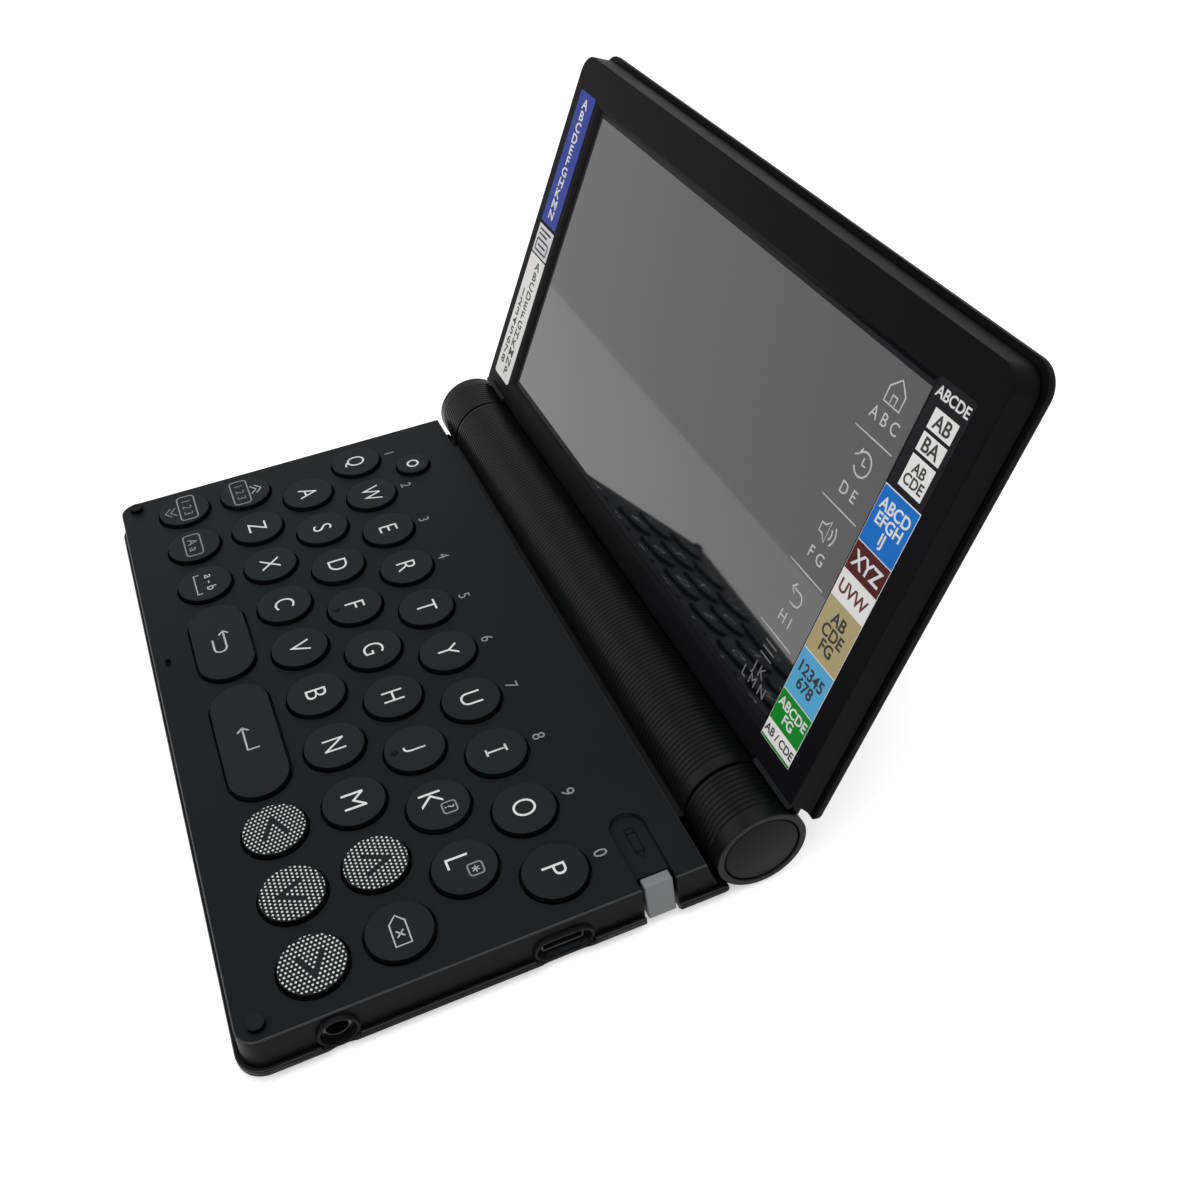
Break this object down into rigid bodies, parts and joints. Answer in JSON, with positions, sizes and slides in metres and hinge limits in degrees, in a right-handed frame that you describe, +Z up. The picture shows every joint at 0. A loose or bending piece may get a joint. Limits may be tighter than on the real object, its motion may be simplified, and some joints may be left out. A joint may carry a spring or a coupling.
{
  "type": "electronic dictionary",
  "caption": "Folding pocket reader with a lettered keyboard in the base, a touch screen in the lid, a round battery barrel as the hinge, and a stylus in the side.",
  "frame": {"origin": "on the surface that the feet stand on, under the middle of the keyboard's width, 40 mm behind the front edge of the keyboard plate", "axes": "+X along the hinge towards the stylus and sockets, +Y from the front edge towards the hinge, +Z up"},
  "size_m": [0.1574, 0.136, 0.0903],
  "materials": {
    "case": "fine satin grain, near black",
    "keytop": "satin, near black with white legends",
    "stylus": "satin mid grey",
    "glass": "glossy touch surface",
    "display": "dark grey, switched off",
    "rubber": "matte black",
    "sheet": "matte grey",
    "board": "green solder mask",
    "cell": "wrapped cell",
    "steel": "satin steel",
    "speaker": "black cone and frame"
  },
  "bodies": {
    "base": {"base_top_case": "case", "base_bottom_tray": "case", "hinge_barrel": "case", "battery_cover": "case", "battery_cells": "cell", "battery_contacts": "steel", "main_board": "board", "key_sheet": "sheet", "speaker": "speaker", "headphone_jack": "case", "data_socket": "steel", "corner_bumpers": "rubber", "rubber_feet": "rubber"},
    "lid": {"screen_bezel": "case", "lid_back_cover": "case", "touch_glass": "glass", "lcd_module": "display", "hinge_knuckles": "case", "knuckle_caps": "case", "hinge_shafts": "steel"},
    "stylus": {"stylus": "stylus"},
    "key_q": {"key_q": "keytop"},
    "key_w": {"key_w": "keytop"},
    "key_e": {"key_e": "keytop"},
    "key_r": {"key_r": "keytop"},
    "key_t": {"key_t": "keytop"},
    "key_y": {"key_y": "keytop"},
    "key_u": {"key_u": "keytop"},
    "key_i": {"key_i": "keytop"},
    "key_o": {"key_o": "keytop"},
    "key_p": {"key_p": "keytop"},
    "key_a": {"key_a": "keytop"},
    "key_s": {"key_s": "keytop"},
    "key_d": {"key_d": "keytop"},
    "key_f": {"key_f": "keytop"},
    "key_g": {"key_g": "keytop"},
    "key_h": {"key_h": "keytop"},
    "key_j": {"key_j": "keytop"},
    "key_k": {"key_k": "keytop"},
    "key_l": {"key_l": "keytop"},
    "key_z": {"key_z": "keytop"},
    "key_x": {"key_x": "keytop"},
    "key_c": {"key_c": "keytop"},
    "key_v": {"key_v": "keytop"},
    "key_b": {"key_b": "keytop"},
    "key_n": {"key_n": "keytop"},
    "key_m": {"key_m": "keytop"},
    "key_page_up": {"key_page_up": "keytop"},
    "key_page_down": {"key_page_down": "keytop"},
    "key_shift": {"key_shift": "keytop"},
    "key_space": {"key_space": "keytop"},
    "key_delete": {"key_delete": "keytop"},
    "key_up": {"key_up": "keytop"},
    "key_down": {"key_down": "keytop"},
    "key_left": {"key_left": "keytop"},
    "key_right": {"key_right": "keytop"},
    "key_back": {"key_back": "keytop"},
    "key_enter": {"key_enter": "keytop"},
    "key_power": {"key_power": "keytop"}
  },
  "joints": [
    {"name": "lid_hinge", "type": "hinge", "parent": "base", "child": "lid", "pos_m": [0, 0.0492, 0.00915], "axis": [-1, 0, 0], "range_deg": [-114.4, 45.6]},
    {"name": "stylus_slide", "type": "slide", "parent": "base", "child": "stylus", "axis": [1, 0, 0], "range_m": [0, 0.088]},
    {"name": "key_q_press", "type": "slide", "parent": "base", "child": "key_q", "axis": [0, 0, -1], "range_m": [0, 0.0008], "stiffness_N_per_m": 400, "springref_m": -0.0008},
    {"name": "key_w_press", "type": "slide", "parent": "base", "child": "key_w", "axis": [0, 0, -1], "range_m": [0, 0.0008], "stiffness_N_per_m": 400, "springref_m": -0.0008},
    {"name": "key_e_press", "type": "slide", "parent": "base", "child": "key_e", "axis": [0, 0, -1], "range_m": [0, 0.0008], "stiffness_N_per_m": 400, "springref_m": -0.0008},
    {"name": "key_r_press", "type": "slide", "parent": "base", "child": "key_r", "axis": [0, 0, -1], "range_m": [0, 0.0008], "stiffness_N_per_m": 400, "springref_m": -0.0008},
    {"name": "key_t_press", "type": "slide", "parent": "base", "child": "key_t", "axis": [0, 0, -1], "range_m": [0, 0.0008], "stiffness_N_per_m": 400, "springref_m": -0.0008},
    {"name": "key_y_press", "type": "slide", "parent": "base", "child": "key_y", "axis": [0, 0, -1], "range_m": [0, 0.0008], "stiffness_N_per_m": 400, "springref_m": -0.0008},
    {"name": "key_u_press", "type": "slide", "parent": "base", "child": "key_u", "axis": [0, 0, -1], "range_m": [0, 0.0008], "stiffness_N_per_m": 400, "springref_m": -0.0008},
    {"name": "key_i_press", "type": "slide", "parent": "base", "child": "key_i", "axis": [0, 0, -1], "range_m": [0, 0.0008], "stiffness_N_per_m": 400, "springref_m": -0.0008},
    {"name": "key_o_press", "type": "slide", "parent": "base", "child": "key_o", "axis": [0, 0, -1], "range_m": [0, 0.0008], "stiffness_N_per_m": 400, "springref_m": -0.0008},
    {"name": "key_p_press", "type": "slide", "parent": "base", "child": "key_p", "axis": [0, 0, -1], "range_m": [0, 0.0008], "stiffness_N_per_m": 400, "springref_m": -0.0008},
    {"name": "key_a_press", "type": "slide", "parent": "base", "child": "key_a", "axis": [0, 0, -1], "range_m": [0, 0.0008], "stiffness_N_per_m": 400, "springref_m": -0.0008},
    {"name": "key_s_press", "type": "slide", "parent": "base", "child": "key_s", "axis": [0, 0, -1], "range_m": [0, 0.0008], "stiffness_N_per_m": 400, "springref_m": -0.0008},
    {"name": "key_d_press", "type": "slide", "parent": "base", "child": "key_d", "axis": [0, 0, -1], "range_m": [0, 0.0008], "stiffness_N_per_m": 400, "springref_m": -0.0008},
    {"name": "key_f_press", "type": "slide", "parent": "base", "child": "key_f", "axis": [0, 0, -1], "range_m": [0, 0.0008], "stiffness_N_per_m": 400, "springref_m": -0.0008},
    {"name": "key_g_press", "type": "slide", "parent": "base", "child": "key_g", "axis": [0, 0, -1], "range_m": [0, 0.0008], "stiffness_N_per_m": 400, "springref_m": -0.0008},
    {"name": "key_h_press", "type": "slide", "parent": "base", "child": "key_h", "axis": [0, 0, -1], "range_m": [0, 0.0008], "stiffness_N_per_m": 400, "springref_m": -0.0008},
    {"name": "key_j_press", "type": "slide", "parent": "base", "child": "key_j", "axis": [0, 0, -1], "range_m": [0, 0.0008], "stiffness_N_per_m": 400, "springref_m": -0.0008},
    {"name": "key_k_press", "type": "slide", "parent": "base", "child": "key_k", "axis": [0, 0, -1], "range_m": [0, 0.0008], "stiffness_N_per_m": 400, "springref_m": -0.0008},
    {"name": "key_l_press", "type": "slide", "parent": "base", "child": "key_l", "axis": [0, 0, -1], "range_m": [0, 0.0008], "stiffness_N_per_m": 400, "springref_m": -0.0008},
    {"name": "key_z_press", "type": "slide", "parent": "base", "child": "key_z", "axis": [0, 0, -1], "range_m": [0, 0.0008], "stiffness_N_per_m": 400, "springref_m": -0.0008},
    {"name": "key_x_press", "type": "slide", "parent": "base", "child": "key_x", "axis": [0, 0, -1], "range_m": [0, 0.0008], "stiffness_N_per_m": 400, "springref_m": -0.0008},
    {"name": "key_c_press", "type": "slide", "parent": "base", "child": "key_c", "axis": [0, 0, -1], "range_m": [0, 0.0008], "stiffness_N_per_m": 400, "springref_m": -0.0008},
    {"name": "key_v_press", "type": "slide", "parent": "base", "child": "key_v", "axis": [0, 0, -1], "range_m": [0, 0.0008], "stiffness_N_per_m": 400, "springref_m": -0.0008},
    {"name": "key_b_press", "type": "slide", "parent": "base", "child": "key_b", "axis": [0, 0, -1], "range_m": [0, 0.0008], "stiffness_N_per_m": 400, "springref_m": -0.0008},
    {"name": "key_n_press", "type": "slide", "parent": "base", "child": "key_n", "axis": [0, 0, -1], "range_m": [0, 0.0008], "stiffness_N_per_m": 400, "springref_m": -0.0008},
    {"name": "key_m_press", "type": "slide", "parent": "base", "child": "key_m", "axis": [0, 0, -1], "range_m": [0, 0.0008], "stiffness_N_per_m": 400, "springref_m": -0.0008},
    {"name": "key_page_up_press", "type": "slide", "parent": "base", "child": "key_page_up", "axis": [0, 0, -1], "range_m": [0, 0.0008], "stiffness_N_per_m": 400, "springref_m": -0.0008},
    {"name": "key_page_down_press", "type": "slide", "parent": "base", "child": "key_page_down", "axis": [0, 0, -1], "range_m": [0, 0.0008], "stiffness_N_per_m": 400, "springref_m": -0.0008},
    {"name": "key_shift_press", "type": "slide", "parent": "base", "child": "key_shift", "axis": [0, 0, -1], "range_m": [0, 0.0008], "stiffness_N_per_m": 400, "springref_m": -0.0008},
    {"name": "key_space_press", "type": "slide", "parent": "base", "child": "key_space", "axis": [0, 0, -1], "range_m": [0, 0.0008], "stiffness_N_per_m": 400, "springref_m": -0.0008},
    {"name": "key_delete_press", "type": "slide", "parent": "base", "child": "key_delete", "axis": [0, 0, -1], "range_m": [0, 0.0008], "stiffness_N_per_m": 400, "springref_m": -0.0008},
    {"name": "key_up_press", "type": "slide", "parent": "base", "child": "key_up", "axis": [0, 0, -1], "range_m": [0, 0.0008], "stiffness_N_per_m": 400, "springref_m": -0.0008},
    {"name": "key_down_press", "type": "slide", "parent": "base", "child": "key_down", "axis": [0, 0, -1], "range_m": [0, 0.0008], "stiffness_N_per_m": 400, "springref_m": -0.0008},
    {"name": "key_left_press", "type": "slide", "parent": "base", "child": "key_left", "axis": [0, 0, -1], "range_m": [0, 0.0008], "stiffness_N_per_m": 400, "springref_m": -0.0008},
    {"name": "key_right_press", "type": "slide", "parent": "base", "child": "key_right", "axis": [0, 0, -1], "range_m": [0, 0.0008], "stiffness_N_per_m": 400, "springref_m": -0.0008},
    {"name": "key_back_press", "type": "slide", "parent": "base", "child": "key_back", "axis": [0, 0, -1], "range_m": [0, 0.0008], "stiffness_N_per_m": 600, "springref_m": -0.0008},
    {"name": "key_enter_press", "type": "slide", "parent": "base", "child": "key_enter", "axis": [0, 0, -1], "range_m": [0, 0.0008], "stiffness_N_per_m": 600, "springref_m": -0.0008},
    {"name": "key_power_press", "type": "slide", "parent": "base", "child": "key_power", "axis": [0, 0, -1], "range_m": [0, 0.0008], "stiffness_N_per_m": 400, "springref_m": -0.0008}
  ]
}
